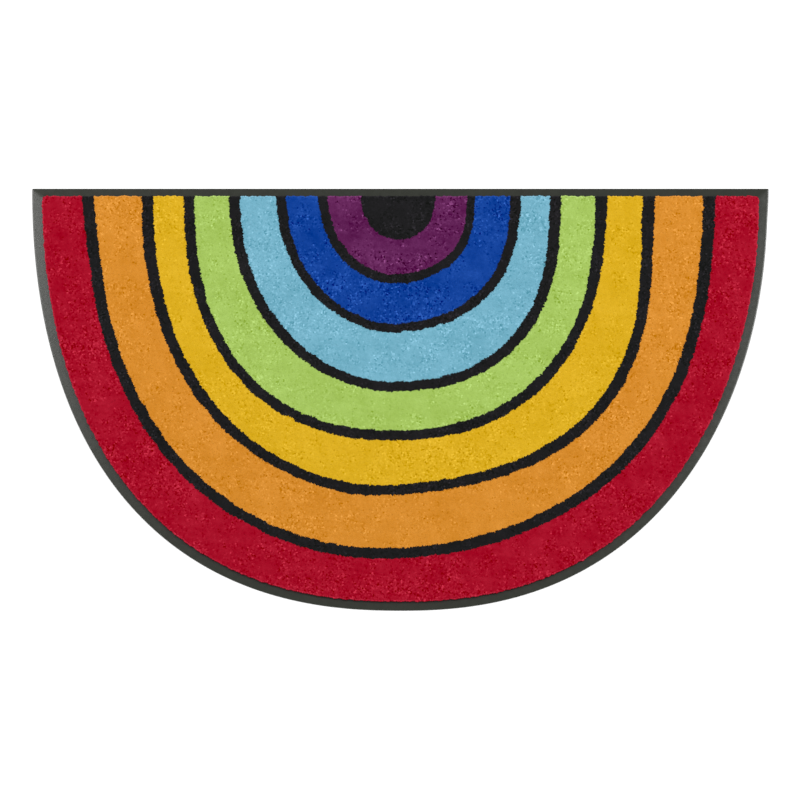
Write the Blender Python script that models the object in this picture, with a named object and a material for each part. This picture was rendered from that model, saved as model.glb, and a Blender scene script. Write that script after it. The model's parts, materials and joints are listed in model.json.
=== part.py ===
"""Half-round washable floor mat: short cut pile on a pressed rubber sheet.

Units are metres and +Z is up. The origin is the middle of the mat, on the floor.
The straight edge runs along X at the +Y side, and the curved edge bulges towards -Y.
"""
import math
from collections import namedtuple

import bmesh
import bpy

# Size and outline of the whole mat
MAT_WIDTH = 0.850
MAT_DEPTH = 0.500
MAT_FULLNESS = 2.28     # exponent of the half superellipse: 2 is an ellipse, more is squarer
MAT_LEAN = -0.0034      # how far the curve drifts sideways by its lowest point
LEAN_POWER = 1.5
OUTLINE_WAVE = 0.0009   # the cut curve swings this far out and in
OUTLINE_WAVES = 6       # swings in a full turn, an even number so that both ends are alike
OUTLINE_CREST = math.radians(5)
CORNER_FLARE = 0.0013   # the rubber's right corner swings this far out past the width
CORNER_FLARE_LENGTH = 0.045
STRAIGHT_EDGE_Y = MAT_DEPTH / 2

# Rubber sheet: a bare border that slopes down to a rounded lip, round a shallow bed for the pile
RUBBER_CORNER = 0.0012
BORDER_WIDTH = 0.0099
BORDER_HEIGHT = 0.0021
LIP_HEIGHT = 0.0013
LIP_ROUNDING = 0.0005
BED_HEIGHT = 0.0016
RUBBER_EDGE_STEPS = 26

# Pile: a slab of cut tufts that stands in the bed and rounds over at its rim
BED_GAP = 0.0004        # from the wall of the bed to the pile's foot
FOOT_GAP = 0.0003       # from the floor of the bed to the pile's foot
PILE_INSET = BORDER_WIDTH + BED_GAP
PILE_CORNER = 0.0030
PILE_FOOT = BED_HEIGHT + FOOT_GAP
PILE_TOP = 0.0070
PILE_LEAN_OUT = 0.0008  # the outermost tufts lean out over the border
PILE_ROUNDING = 0.0022
ROUNDING_STEPS = 4

# How much further in than on the right the pile and its bed stop at the front and on the left
RIM_DRAW_FRONT = -0.0004
RIM_DRAW_LEFT = 0.0012

# Resolution
CURVE_STEPS = 72
CORNER_STEPS = 3

# Degrees between two faces from which the edge between them is drawn sharp
RUBBER_SHARP_ANGLE = 35
PILE_SHARP_ANGLE = 50

# The edge of a printed band on the pile, measured from the middle of its outermost straight edge.
# The reaches run along that edge, the depth runs to the curve's lowest point, the fullnesses are
# the exponents of the two quarters, the ripple is the height of the waves in the right quarter,
# and the flare is how far the edge swings out at its left end. Each edge but the first is the middle
# of a dark line, as wide at its ends and at its lowest point as the last two columns say.
BandEdge = namedtuple(
    "BandEdge",
    "inside left right depth left_fullness right_fullness ripple flare end_width front_width",
)
BAND_EDGES = (
    BandEdge("black", 0.0446, 0.0410, 0.0518, 2.20, 2.20, 0.0000, 0.0000, 0.0000, 0.0000),
    BandEdge("purple", 0.0884, 0.0839, 0.0989, 2.10, 2.16, 0.0013, 0.0012, 0.0105, 0.0112),
    BandEdge("blue", 0.1367, 0.1351, 0.1572, 2.05, 2.15, 0.0015, 0.0010, 0.0120, 0.0112),
    BandEdge("light_blue", 0.1911, 0.1810, 0.2266, 2.09, 2.37, 0.0013, 0.0000, 0.0130, 0.0120),
    BandEdge("green", 0.2435, 0.2337, 0.2844, 2.39, 2.28, 0.0010, 0.0000, 0.0135, 0.0123),
    BandEdge("yellow", 0.2918, 0.2921, 0.3484, 2.25, 2.41, 0.0048, 0.0000, 0.0146, 0.0130),
    BandEdge("orange", 0.3557, 0.3605, 0.4234, 2.25, 2.17, 0.0032, 0.0048, 0.0142, 0.0128),
)
OUTER_BAND = "red"
LINE_COLOUR = "black"
RIPPLE_WAVES = 5.5      # waves in a full turn
RIPPLE_CREST = math.radians(40)
RIPPLE_END = math.radians(115)
RIPPLE_FADE = math.radians(25)
FLARE_START = math.radians(168)

# Finishes: linear colours
RUBBER_COLOUR = (0.045, 0.048, 0.042, 1.0)
RUBBER_ROUGHNESS = 0.55
PILE_ROUGHNESS = 0.95
PILE_COLOURS = {
    "black": (0.014, 0.014, 0.015, 1.0),
    "purple": (0.122, 0.018, 0.095, 1.0),
    "blue": (0.007, 0.055, 0.327, 1.0),
    "light_blue": (0.181, 0.451, 0.578, 1.0),
    "green": (0.386, 0.571, 0.119, 1.0),
    "yellow": (0.716, 0.429, 0.016, 1.0),
    "orange": (0.686, 0.262, 0.028, 1.0),
    "red": (0.392, 0.006, 0.022, 1.0),
}


def superellipse_radius(angle, reach, depth, fullness):
    """Distance from the centre of a superellipse to its rim, at an angle from the X axis."""
    across = (abs(math.cos(angle)) / reach) ** fullness
    down = (abs(math.sin(angle)) / depth) ** fullness
    return (across + down) ** (-1 / fullness)


def eased(share):
    """A share held between 0 and 1, with a soft start and end."""
    held = min(max(share, 0.0), 1.0)
    return held * held * (3 - 2 * held)


def corner_flare(down):
    """How far the rubber's right end swings out, at a distance below the straight edge."""
    return CORNER_FLARE * eased(1 - down / CORNER_FLARE_LENGTH)


def outline_wave(angle):
    """How far the cut curve swings out, at an angle from the X axis."""
    return OUTLINE_WAVE * math.cos(OUTLINE_WAVES * (angle - OUTLINE_CREST))


def rim_draw(angle):
    """How much further in than on the right the pile stops, at an angle from the X axis."""
    leftness = max(-math.cos(angle), 0.0)
    return RIM_DRAW_FRONT * math.sin(angle) ** 2 + RIM_DRAW_LEFT * leftness ** 2


def curve_points(inset, corner, drawn):
    """Points of the curved edge from the right corner round the front to the left corner.

    drawn is the share of the pile's uneven rim that the edge follows, from 0 for the rubber's own
    outline to 1 for the pile's.
    """
    reach = MAT_WIDTH / 2 - outline_wave(0.0) - inset
    depth = MAT_DEPTH - outline_wave(math.pi / 2) - inset
    start_down = inset + corner
    start = math.atan2(start_down, MAT_WIDTH / 2 - inset)
    points = []
    for step in range(CURVE_STEPS + 1):
        angle = start + (math.pi - 2 * start) * step / CURVE_STEPS
        further = drawn * rim_draw(angle)
        radius = superellipse_radius(angle, reach - further, depth - further, MAT_FULLNESS)
        radius += outline_wave(angle)
        down = start_down if step in (0, CURVE_STEPS) else radius * math.sin(angle)
        drift = MAT_LEAN * (down / MAT_DEPTH) ** LEAN_POWER
        if math.cos(angle) > 0:
            drift += (1 - drawn) * corner_flare(down)
        points.append((radius * math.cos(angle) + drift, STRAIGHT_EDGE_Y - down))
    return points


def corner_points(side_point, corner, side):
    """Points that turn from one end of the curve onto the straight edge; side is 1 right, -1 left."""
    centre_x = side_point[0] - side * corner
    points = []
    for step in range(1, CORNER_STEPS + 1):
        angle = math.pi / 2 * step / CORNER_STEPS
        x = centre_x + side * corner * math.cos(angle)
        points.append((x, side_point[1] + corner * math.sin(angle)))
    return points


def outline(inset, corner, drawn, edge_xs):
    """The closed outline: curve from right to left, left corner, straight edge, right corner."""
    curve = curve_points(inset, corner, drawn)
    left = corner_points(curve[-1], corner, -1)
    right = corner_points(curve[0], corner, 1)
    straight = [(x, STRAIGHT_EDGE_Y - inset) for x in edge_xs]
    return curve + left + straight + right[::-1]


def add_ring(bm, points, height):
    """Vertices for one outline at one height."""
    return [bm.verts.new((x, y, height)) for x, y in points]


def bridge_rings(bm, lower, upper):
    """A band of four-sided faces between two rings of equal count."""
    faces = []
    for i in range(len(lower)):
        j = (i + 1) % len(lower)
        faces.append(bm.faces.new((lower[i], lower[j], upper[j], upper[i])))
    return faces


def finish_object(bm, name, materials, sharp_angle):
    """Turn a closed mesh into a shaded object with its materials."""
    bmesh.ops.recalc_face_normals(bm, faces=bm.faces)
    mesh = bpy.data.meshes.new(name)
    bm.to_mesh(mesh)
    bm.free()
    for material in materials:
        mesh.materials.append(material)
    mesh.shade_smooth()
    mesh.set_sharp_from_angle(angle=math.radians(sharp_angle))
    piece = bpy.data.objects.new(name, mesh)
    bpy.context.collection.objects.link(piece)
    return piece


def add_material(name, colour, roughness):
    """A plain finish of one colour."""
    material = bpy.data.materials.new(name)
    material.use_nodes = True
    shader = material.node_tree.nodes["Principled BSDF"]
    shader.inputs["Base Color"].default_value = colour
    shader.inputs["Roughness"].default_value = roughness
    shader.inputs["Metallic"].default_value = 0.0
    material.diffuse_color = colour
    return material


def rubber_section():
    """Each ring of the rubber from its foot over the lip to the bed: inset, height and drawn."""
    rounded = LIP_ROUNDING * (1 - math.sqrt(0.5))
    return (
        (LIP_ROUNDING, 0.0, 0.0),
        (0.0, LIP_ROUNDING, 0.0),
        (0.0, LIP_HEIGHT - LIP_ROUNDING, 0.0),
        (rounded, LIP_HEIGHT - rounded, 0.0),
        (LIP_ROUNDING, LIP_HEIGHT, 0.0),
        (BORDER_WIDTH - LIP_ROUNDING, BORDER_HEIGHT, 1.0),
        (BORDER_WIDTH, BORDER_HEIGHT, 1.0),
        (BORDER_WIDTH, BED_HEIGHT, 1.0),
    )


def build_rubber_backing():
    """The rubber sheet with its sloping border and shallow bed."""
    straight_half = MAT_WIDTH / 2 - BORDER_WIDTH - RIM_DRAW_LEFT - RUBBER_CORNER
    edge_xs = []
    for step in range(1, RUBBER_EDGE_STEPS):
        edge_xs.append(straight_half * (2 * step / RUBBER_EDGE_STEPS - 1))
    bm = bmesh.new()
    rings = []
    for inset, height, drawn in rubber_section():
        rings.append(add_ring(bm, outline(inset, RUBBER_CORNER, drawn, edge_xs), height))
    bm.faces.new(rings[0])
    for lower, upper in zip(rings, rings[1:]):
        bridge_rings(bm, lower, upper)
    bm.faces.new(rings[-1])
    rubber = add_material("rubber", RUBBER_COLOUR, RUBBER_ROUGHNESS)
    return finish_object(bm, "rubber_backing", [rubber], RUBBER_SHARP_ANGLE)


def pile_section():
    """Inset and height of each ring of the pile's side, from its foot to where the top is level."""
    side_top = PILE_TOP - PILE_ROUNDING
    section = [(PILE_INSET, PILE_FOOT), (PILE_INSET - PILE_LEAN_OUT, side_top)]
    for step in range(1, ROUNDING_STEPS + 1):
        angle = math.pi / 2 * step / ROUNDING_STEPS
        inset = PILE_INSET - PILE_LEAN_OUT + PILE_ROUNDING * (1 - math.cos(angle))
        section.append((inset, side_top + PILE_ROUNDING * math.sin(angle)))
    return section


def unevenness(edge, angle):
    """The waves of a band's edge, which fade out past the front, and the flare at its left end."""
    waves = math.cos(RIPPLE_WAVES * (angle - RIPPLE_CREST))
    fade = eased((RIPPLE_END - angle) / RIPPLE_FADE)
    rise = eased((angle - FLARE_START) / (math.pi - FLARE_START))
    return edge.ripple * fade * waves + edge.flare * rise


def band_radius(edge, angle, side_of_line):
    """Distance of a band's edge from the middle of the level top's straight edge.

    side_of_line is -1, 0 or 1. The level top starts further in than the pile by its rounding, so
    the depth is less by that.
    """
    right = math.cos(angle) > 0
    reach = edge.right if right else edge.left
    fullness = edge.right_fullness if right else edge.left_fullness
    radius = superellipse_radius(angle, reach, edge.depth - PILE_ROUNDING, fullness)
    endness = abs(math.cos(angle))
    width = edge.front_width + (edge.end_width - edge.front_width) * endness
    return radius + unevenness(edge, angle) + side_of_line * width / 2


def band_rows():
    """Each row of the top from the inside out: its edge, its side of the line, and what it encloses."""
    rows = [(BAND_EDGES[0], 0, BAND_EDGES[0].inside)]
    for edge in BAND_EDGES[1:]:
        rows.append((edge, -1, edge.inside))
        rows.append((edge, 1, LINE_COLOUR))
    return rows


def fill_top(bm, rim, rows, top_y):
    """Cover the level top with strips that follow the bands, out to the innermost ring of the rim.

    Returns each face with its band. The rim's straight stretch already has a vertex at the end of
    each row and one in the middle, so the strips share those.
    """
    first_straight = CURVE_STEPS + 1 + CORNER_STEPS
    middle = first_straight + len(rows)
    centre = rim[middle]
    inner = None
    painted = []
    for number, (edge, side_of_line, band) in enumerate(rows, start=1):
        row = [rim[middle + number]]
        for step in range(1, CURVE_STEPS):
            angle = math.pi * step / CURVE_STEPS
            radius = band_radius(edge, angle, side_of_line)
            place = (radius * math.cos(angle), top_y - radius * math.sin(angle), PILE_TOP)
            row.append(bm.verts.new(place))
        row.append(rim[middle - number])
        for step in range(CURVE_STEPS):
            if inner is None:
                corners = (centre, row[step], row[step + 1])
            else:
                corners = (inner[step], row[step], row[step + 1], inner[step + 1])
            painted.append((bm.faces.new(corners), band))
        inner = row
    for step in range(CURVE_STEPS):
        corners = (inner[step], rim[step], rim[step + 1], inner[step + 1])
        painted.append((bm.faces.new(corners), OUTER_BAND))
    left_end = [inner[-1]] + rim[CURVE_STEPS:first_straight]
    right_end = [inner[0]] + rim[middle + len(rows) + 1:] + [rim[0]]
    painted.append((bm.faces.new(left_end), OUTER_BAND))
    painted.append((bm.faces.new(right_end), OUTER_BAND))
    return painted


def straight_side_band(offset, rows):
    """The band at a step of the straight edge, counted outwards from the middle."""
    return rows[offset][2] if offset < len(rows) else OUTER_BAND


def build_pile():
    """The tufted face with its printed bands."""
    section = pile_section()
    rows = band_rows()
    right_xs = [band_radius(edge, 0.0, side) for edge, side, _ in rows]
    left_xs = [-band_radius(edge, math.pi, side) for edge, side, _ in rows]
    edge_xs = left_xs[::-1] + [0.0] + right_xs
    bm = bmesh.new()
    rings = []
    for inset, height in section:
        corner = PILE_CORNER - (inset - PILE_INSET) / 2
        rings.append(add_ring(bm, outline(inset, corner, 1.0, edge_xs), height))
    bm.faces.new(rings[0])
    slots = {name: index for index, name in enumerate(PILE_COLOURS)}
    middle = CURVE_STEPS + 1 + CORNER_STEPS + len(rows)
    for lower, upper in zip(rings, rings[1:]):
        for i, face in enumerate(bridge_rings(bm, lower, upper)):
            offset = i - middle if i >= middle else middle - 1 - i
            face.material_index = slots[straight_side_band(offset, rows)]
    top_y = STRAIGHT_EDGE_Y - section[-1][0]
    for face, band in fill_top(bm, rings[-1], rows, top_y):
        face.material_index = slots[band]
    materials = []
    for name, colour in PILE_COLOURS.items():
        materials.append(add_material("pile_" + name, colour, PILE_ROUGHNESS))
    return finish_object(bm, "pile", materials, PILE_SHARP_ANGLE)


def clear_scene():
    """Start from an empty scene."""
    for existing in list(bpy.data.objects):
        bpy.data.objects.remove(existing, do_unlink=True)


clear_scene()
build_rubber_backing()
build_pile()
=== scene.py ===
"""Dresses the half-round washable mat: pressed rubber sheet and printed cut pile.

Laid out as a Blender add-on and run as a script. Lengths are metres, +Z is up out of the pile,
the straight edge lies at +Y and the curved edge bulges towards -Y.
"""

import json
import math
from collections import namedtuple

import bmesh
import bpy
import numpy as np
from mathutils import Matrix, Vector

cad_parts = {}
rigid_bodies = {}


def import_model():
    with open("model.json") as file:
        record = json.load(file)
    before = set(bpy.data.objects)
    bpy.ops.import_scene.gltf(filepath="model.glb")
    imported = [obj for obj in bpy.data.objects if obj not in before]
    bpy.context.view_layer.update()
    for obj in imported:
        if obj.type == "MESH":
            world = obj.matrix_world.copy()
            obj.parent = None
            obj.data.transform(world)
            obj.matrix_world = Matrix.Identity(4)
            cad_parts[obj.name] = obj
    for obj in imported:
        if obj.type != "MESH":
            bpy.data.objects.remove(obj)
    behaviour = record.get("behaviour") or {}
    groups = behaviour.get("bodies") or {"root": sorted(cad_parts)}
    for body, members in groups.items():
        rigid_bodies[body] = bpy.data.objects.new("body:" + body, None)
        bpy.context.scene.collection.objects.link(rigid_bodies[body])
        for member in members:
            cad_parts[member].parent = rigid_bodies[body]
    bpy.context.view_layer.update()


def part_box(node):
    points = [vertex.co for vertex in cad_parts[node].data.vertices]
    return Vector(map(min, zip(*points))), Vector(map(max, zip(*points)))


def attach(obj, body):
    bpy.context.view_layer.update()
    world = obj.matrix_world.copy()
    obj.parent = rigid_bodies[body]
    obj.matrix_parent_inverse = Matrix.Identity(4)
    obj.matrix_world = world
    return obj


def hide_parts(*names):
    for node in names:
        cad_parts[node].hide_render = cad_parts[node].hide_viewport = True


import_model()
RUBBER_LOW, RUBBER_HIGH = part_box("rubber_backing")
PILE_LOW, PILE_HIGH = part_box("pile")

bl_info = {
    "name": "Half-round washable mat",
    "version": (1, 0, 0),
    "blender": (4, 5, 0),
    "location": "3D View > Sidebar > Washable Mat",
    "description": "Makes a half-round mat of printed cut pile on a rubber sheet",
    "category": "Object",
}

# Outline: half a superellipse that leans a little to one side, with gentle swings out and in, and
# with a right corner that flares out past the width
MAT_WIDTH = -2 * RUBBER_LOW.x
MAT_DEPTH = RUBBER_HIGH.y - RUBBER_LOW.y
STRAIGHT_EDGE_Y = RUBBER_HIGH.y
MAT_FULLNESS = 2.28
MAT_LEAN = -0.0034
LEAN_POWER = 1.5
OUTLINE_WAVE = 0.0009
OUTLINE_WAVES = 6
OUTLINE_CREST = math.radians(5)
CORNER_FLARE = 0.0013
CORNER_FLARE_LENGTH = 0.045
CURVE_STEPS = 180
CORNER_STEPS = 5
STRAIGHT_STEPS = 40
PILE_CORNER = 0.0030
PILE_INSET = STRAIGHT_EDGE_Y - PILE_HIGH.y
PILE_TOP = PILE_HIGH.z
PILE_EDGE_Y = PILE_HIGH.y

# The row of tufts along the rim starts a little over the rubber's ridge
FOOT_GAP = 0.0002
RIM_FOOT = RUBBER_HIGH.z + FOOT_GAP

# How much further in than on the right the pile stops at the front and on the left
RIM_DRAW_FRONT = -0.0004
RIM_DRAW_LEFT = 0.0012

# Section of the rubber from the underside over the lip and the sloping border into the bed. A row
# turns its two corners at a radius, and drawn is its share of the pile's uneven rim.
SectionRow = namedtuple("SectionRow", "inset height drawn corner")
RUBBER_SECTION = tuple(SectionRow(*row) for row in (
    (0.0006, 0.0000, 0.0, 0.0012),
    (0.0002, 0.0001, 0.0, 0.0012),
    (0.0000, 0.0004, 0.0, 0.0012),
    (0.0000, 0.0008, 0.0, 0.0012),
    (0.0002, 0.0011, 0.0, 0.0012),
    (0.0005, 0.0013, 0.0, 0.0012),
    (0.0009, 0.00137, 0.0, 0.0014),
    (0.0013, 0.00141, 0.0, 0.0016),
    (0.0078, 0.00204, 1.0, 0.0050),
    (0.0088, 0.00214, 1.0, 0.0035),
    (0.0098, 0.00222, 1.0, 0.0022),
    (0.0106, 0.0023, 1.0, 0.0012),
    (0.0108, 0.0016, 1.0, 0.0012),
))

# Printed bands: the edge of each is measured from the middle of the pile's straight edge. The
# reaches run along that edge and the depth to the curve's lowest point. The fullnesses are the
# exponents of the two quarters, the ripple is the height of the waves in the right quarter, and
# the flare is how far the edge swings out at its left end. Every edge but the first is the middle
# of a dark line, whose widths are the last three columns.
BandEdge = namedtuple(
    "BandEdge",
    "inside left right depth left_fullness right_fullness ripple flare"
    " left_width right_width front_width",
)
BAND_EDGES = tuple(BandEdge(*row) for row in (
    ("black", 0.0446, 0.0410, 0.0518, 2.20, 2.20, 0.0000, 0.0000, 0.0000, 0.0000, 0.0000),
    ("purple", 0.0884, 0.0839, 0.0989, 2.10, 2.16, 0.0013, 0.0012, 0.0106, 0.0101, 0.0112),
    ("blue", 0.1367, 0.1351, 0.1572, 2.05, 2.15, 0.0015, 0.0010, 0.0115, 0.0119, 0.0108),
    ("light_blue", 0.1911, 0.1810, 0.2266, 2.09, 2.37, 0.0013, 0.0000, 0.0129, 0.0137, 0.0115),
    ("green", 0.2435, 0.2337, 0.2844, 2.39, 2.28, 0.0010, 0.0000, 0.0129, 0.0138, 0.0117),
    ("yellow", 0.2918, 0.2921, 0.3484, 2.25, 2.41, 0.0048, 0.0000, 0.0137, 0.0142, 0.0121),
    ("orange", 0.3557, 0.3605, 0.4234, 2.25, 2.17, 0.0032, 0.0048, 0.0135, 0.0147, 0.0124),
))

# Dyes: the colour of a tuft of middling shade, how far it changes from there to a pale one, and
# how much faster it changes towards pale than towards dark. Towards pale the dye also whitens,
# partly as uneven dye and partly as painted glints of fibre ends catching the light.
Dye = namedtuple("Dye", "colour change bend")
DYES = {
    "red": Dye((0.3134, 0.0043, 0.0175), (0.1987, 0.0212, 0.0385), 1.6),
    "orange": Dye((0.5470, 0.2131, 0.0234), (0.1629, 0.0981, 0.0324), 1.15),
    "yellow": Dye((0.5732, 0.3432, 0.0134), (0.1361, 0.1029, 0.0194), 0.9),
    "green": Dye((0.3092, 0.4553, 0.0977), (0.1266, 0.1595, 0.0790), 1.1),
    "light_blue": Dye((0.1439, 0.3547, 0.4570), (0.1021, 0.1505, 0.1838), 1.25),
    "blue": Dye((0.0056, 0.0441, 0.2593), (0.0211, 0.0619, 0.1872), 1.4),
    "purple": Dye((0.0975, 0.0139, 0.0752), (0.1378, 0.0443, 0.1209), 1.6),
    "black": Dye((0.0111, 0.0110, 0.0116), (0.0143, 0.0122, 0.0158), 1.8),
}
OUTER_BAND = "red"
LINE_COLOUR = "black"

# Ripple of the bands' edges in waves a turn, and the angles from the right end of the straight
# edge at which it crests and ends, over which it fades, and from which the flare begins
RIPPLE_WAVES = 5.5
RIPPLE_CREST = math.radians(40)
RIPPLE_END = math.radians(115)
RIPPLE_FADE = math.radians(25)
FLARE_START = math.radians(168)

# How far the printed edges wander in and out over short and long stretches
PRINT_WANDER = 0.0005
PRINT_WANDER_WAVES = (0.003, 0.070)
PRINT_SEED = 3

# Tufts: forms of a cut end of yarn. The tip is set off its middle by a share of the width, oval
# is the narrow width as a share of the wide one, and crown is the tip's share of the height. Those
# with a root width have a stem as well.
TuftForm = namedtuple("TuftForm", "sides tip_shift oval crown root_width")
TIP_FORMS = (
    TuftForm(6, 0.10, 0.92, 1.0, None),
    TuftForm(5, 0.16, 1.00, 1.0, None),
    TuftForm(6, 0.05, 0.80, 1.0, None),
)
RIM_FORMS = (
    TuftForm(6, 0.08, 0.95, 0.14, 0.96),
    TuftForm(6, 0.12, 0.88, 0.10, 0.98),
)

# How far the yarn's body under the tips stands inside the pile's rim
BODY_INSET = 0.0013

# Planting: turn of the grid, play of a tuft in it and in its width, and how a tuft leans by its
# own chance and with the nap and the curl of its neighbours
GRID_TURN = math.radians(17)
TUFT_JITTER = 0.30
WIDTH_JITTER = 0.08
OWN_LEAN = 0.35
SHARED_LEAN = 0.30
NAP_WAVES = (0.021, 0.042)
CURL_WAVES = (0.005, 0.010)

# Unevenness of the dye: each tuft's own shade, stronger in lively patches and weaker in calm
# ones, the tone, which drifts over short and long stretches, and a few dark specks. Waves run from
# a shortest to a longest.
PATCH_WAVES = (0.005, 0.250)
PATCH_STRENGTH = 0.95
PATCH_RANGE = (0.0, 3.2)
TONE_WAVES = (0.004, 0.180)
TONE_SHARE = 0.46
SHADE_STEP = 0.098
FIELD_WAVES = 60
DARK_SPECKS = 0.002
SPECK_SHADE = 0.20

# The row along the rim: its step, play and distance to the next tufts as shares, how far its tips
# lean out past its roots, how far the row swings out and in and over what length, how much lower
# the pile gets towards it, and how much lighter it is painted there, a painted highlight on the
# rim's shoulder that also offsets the shade at the rim
RIM_STEP = 0.62
RIM_JITTER = 0.25
RIM_CLEARANCE = 0.75
RIM_SPLAY = 0.0008
SPLAY_RANGE = (0.5, 1.5)
RIM_WANDER = 0.0003
RIM_WANDER_WAVES = (0.006, 0.013)
RIM_SHOULDER = 0.0035
RIM_DROP = 0.0006
RIM_PAINTED_LIGHT = 0.35
RIM_PAINTED_LIGHT_WIDTH = 0.0030

# Map of the tufts: shade runs across and height up, and every other corner is a strip further on
TUFT_MAP = "OFBake"
MAP_MARGIN = 0.03
MAP_STRIP = 0.005
MAP_LOW = 0.35
MAP_RISE = 0.30

# Finish of the rubber: widths of its mottling, and heights of the lip's wear and painted highlight
CLOUD_WIDTH = 0.045
MOTTLE_WIDTH = 0.006
LIP_WEAR_AND_HIGHLIGHT_HEIGHTS = (0.0014, 0.0009)
RUBBER_ROUGHNESS = (0.25, 0.32)
RUBBER_BUMP = 0.00004
SHARP_ANGLE = math.radians(40)

# Finish of the yarn and of the body's upright strands, and the middle stretch of a noise
YARN_ROUGHNESS = (1.0, 0.85)
STRAND_SQUEEZE = 0.12
STRAND_LEVELS = (0.7, 1.25)
STRAND_ROUGHNESS = (1.0, 0.9)
STRAND_BUMP = 0.0002
NOISE_RANGE = (0.3, 0.7)

# Studio: places of the softboxes, and the floor's finish
LEFT_SOFTBOX = (-1.47, 0.81, 2.26)
RIGHT_SOFTBOX = (2.35, 0.71, 3.20)
SOFTBOX_WIDTH = 0.8
FLOOR_WIDTH = 80.0
FLOOR_CLOUD_WIDTH = 0.4
FLOOR_ROUGHNESS = (0.85, 0.95)

# Placing of the camera in the photograph's frame
PHOTO_SCALE = 0.0011543     # metres a pixel at the mat
PHOTO_PIXELS = 800
MAT_MIDDLE_PIXEL = (399.85, 399.4)
CAMERA_ELEVATION = math.radians(76.8)
CAMERA_DISTANCE = 30.0
CAMERA_REACH = 100.0
SENSOR_WIDTH = 36.0


# Settings that a user would change

def length_property(name, description, default, least=0.0):
    """A setting that is a length."""
    return bpy.props.FloatProperty(
        name=name, description=description, unit="LENGTH", precision=5, min=least,
        default=default,
    )


class RubberSettings(bpy.types.PropertyGroup):
    """Finish of the rubber sheet."""

    colour: bpy.props.FloatVectorProperty(
        name="Rubber colour", description="Main colour of the rubber",
        subtype="COLOR", size=3, min=0.0, max=1.0, default=(0.0105, 0.0125, 0.0065),
    )
    grain_size: length_property("Grain size", "Width of the pressed grain", 0.0006, 0.0001)


def band_property(name):
    """A colour setting for one printed band."""
    return bpy.props.FloatVectorProperty(
        name=name.replace("_", " ").capitalize(),
        description="Dye of the " + name.replace("_", " ") + " band",
        subtype="COLOR", size=3, min=0.0, max=1.0, default=DYES[name].colour,
    )


class PileSettings(bpy.types.PropertyGroup):
    """Sizes and dyes of the pile."""

    tuft_spacing: length_property(
        "Tuft spacing", "Mean distance from one tuft to the next", 0.00165, 0.001,
    )
    tip_width: length_property(
        "Tip width", "Width at which a tuft's tip meets its neighbours' sides", 0.0036, 0.0005,
    )
    tip_height: length_property(
        "Tip height", "Height of a tuft's tip over that width", 0.0008, 0.0001,
    )
    rim_width: length_property(
        "Rim tuft width", "Width of the tufts in the row along the rim", 0.0022, 0.0005,
    )
    tuft_lean: bpy.props.FloatProperty(
        name="Tuft lean", description="How far a tuft leans at most, away from upright",
        subtype="ANGLE", unit="ROTATION", min=0.0, default=math.radians(9),
    )
    height_spread: length_property(
        "Height spread", "Difference in height between low and high tufts", 0.0004,
    )
    seed: bpy.props.IntProperty(
        name="Seed", description="Starting number of the tufts' chance placing", default=7,
    )
    red: band_property("red")
    orange: band_property("orange")
    yellow: band_property("yellow")
    green: band_property("green")
    light_blue: band_property("light_blue")
    blue: band_property("blue")
    purple: band_property("purple")
    black: band_property("black")


class StageSettings(bpy.types.PropertyGroup):
    """Floor and studio light."""

    floor_colour: bpy.props.FloatVectorProperty(
        name="Floor colour", description="Colour of the plain floor",
        subtype="COLOR", size=3, min=0.0, max=1.0, default=(0.90, 0.90, 0.90),
    )
    sky_strength: bpy.props.FloatProperty(
        name="Room light", description="Strength of the even light from all round",
        min=0.0, default=0.6,
    )
    left_power: bpy.props.FloatProperty(
        name="Left softbox", description="Power of the softbox on the left",
        subtype="POWER", unit="POWER", min=0.0, default=31.0,
    )
    right_power: bpy.props.FloatProperty(
        name="Right softbox", description="Power of the softbox on the right",
        subtype="POWER", unit="POWER", min=0.0, default=91.0,
    )


# Formulas of the outline and the printed bands

def eased(share):
    """A share from 0 to 1 with a soft start and end."""
    return share * share * (3 - 2 * share)


def superellipse_radius(angle, reach, depth, fullness):
    """Distance from the centre of a superellipse to its rim, at an angle from the X axis."""
    across = (np.abs(np.cos(angle)) / reach) ** fullness
    down = (np.abs(np.sin(angle)) / depth) ** fullness
    return (across + down) ** (-1 / fullness)


def lean_at(down):
    """Sideways drift of the curve at a distance below the straight edge."""
    return MAT_LEAN * (np.maximum(down, 0.0) / MAT_DEPTH) ** LEAN_POWER


def outline_wave(angle):
    """How far the cut curve swings out, at an angle from the X axis."""
    return OUTLINE_WAVE * np.cos(OUTLINE_WAVES * (angle - OUTLINE_CREST))


def curve_reach_and_depth(inset):
    """Half the width and the depth of the curve before its swings, which add the rest."""
    reach = MAT_WIDTH / 2 - outline_wave(0.0) - inset
    return reach, MAT_DEPTH - outline_wave(math.pi / 2) - inset


def rim_draw(angle):
    """How much further in than on the right the pile stops, at an angle from the X axis."""
    leftness = np.maximum(-np.cos(angle), 0.0)
    return RIM_DRAW_FRONT * np.sin(angle) ** 2 + RIM_DRAW_LEFT * leftness ** 2


def curve_points(inset, corner, drawn):
    """Points of the curved edge from the right corner round the front to the left corner."""
    start_down = inset + corner
    start = math.atan2(start_down, MAT_WIDTH / 2 - inset)
    angle = np.linspace(start, math.pi - start, CURVE_STEPS + 1)
    reach, depth = curve_reach_and_depth(inset + drawn * rim_draw(angle))
    radius = superellipse_radius(angle, reach, depth, MAT_FULLNESS) + outline_wave(angle)
    down = radius * np.sin(angle)
    down[[0, -1]] = start_down
    flare = CORNER_FLARE * eased(np.clip(1 - down / CORNER_FLARE_LENGTH, 0.0, 1.0))
    flare *= (1 - drawn) * (np.cos(angle) > 0)
    across = radius * np.cos(angle) + lean_at(down) + flare
    return np.stack([across, STRAIGHT_EDGE_Y - down], axis=1)


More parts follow.
